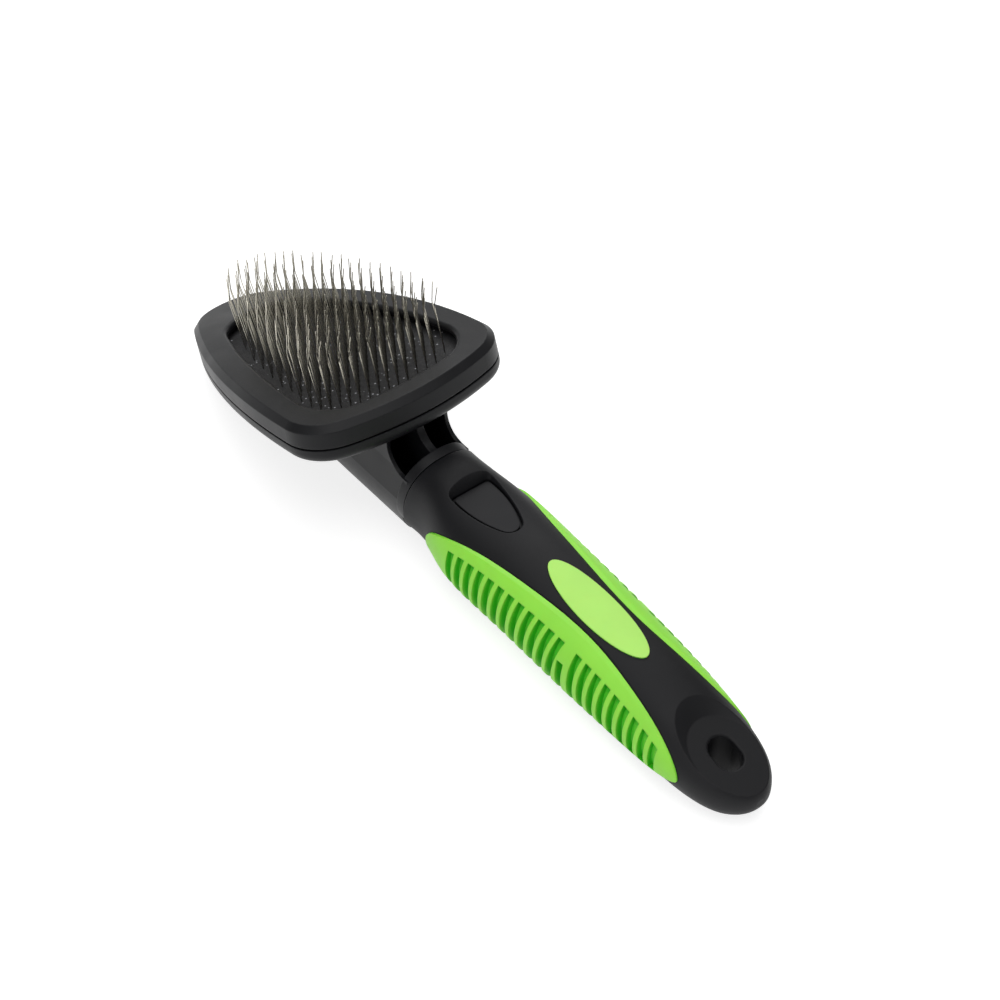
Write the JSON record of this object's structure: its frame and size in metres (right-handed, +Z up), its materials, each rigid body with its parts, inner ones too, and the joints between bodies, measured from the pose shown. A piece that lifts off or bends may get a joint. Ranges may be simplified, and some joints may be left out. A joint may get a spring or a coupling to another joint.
{
  "type": "slicker brush",
  "caption": "Pet slicker brush: bent wire pins on a cushioned pad in a rounded triangular head, gusseted neck, and a soft ribbed grip with a hang hole.",
  "frame": {"origin": "on the table, below the middle of the brush's length, with the brush lying on its back and its pins up", "axes": "+X along the handle towards the nose of the head, +Y to the brush's left side, +Z up"},
  "size_m": [0.194, 0.055, 0.0515],
  "materials": {
    "head_plastic": "fine satin texture",
    "inner_plastic": "plain",
    "foam": "closed-cell foam",
    "cloth": "rubberised cloth",
    "pins": "drawn wire in a black rubber face",
    "screws": "zinc plated",
    "soft_grip": "soft-touch matte",
    "green_grip": "soft-touch satin"
  },
  "bodies": {
    "brush": {"bezel_frame": "head_plastic", "back_shell": "head_plastic", "backing_board": "inner_plastic", "foam_cushion": "foam", "neck_screws": "screws", "neck": "head_plastic", "grip_sleeve": "soft_grip", "left_grip_inlay": "green_grip", "right_grip_inlay": "green_grip", "oval_inlay": "green_grip", "thumb_pad": "soft_grip"},
    "pin_pad": {"wire_pins": "pins", "carding_cloth": "cloth"}
  },
  "joints": [
    {"name": "pad_press", "type": "slide", "parent": "brush", "child": "pin_pad", "axis": [-0.3256, 0, -0.9455], "range_m": [0, 0.001], "stiffness_N_per_m": 2000, "deforming": ["foam_cushion"]}
  ]
}
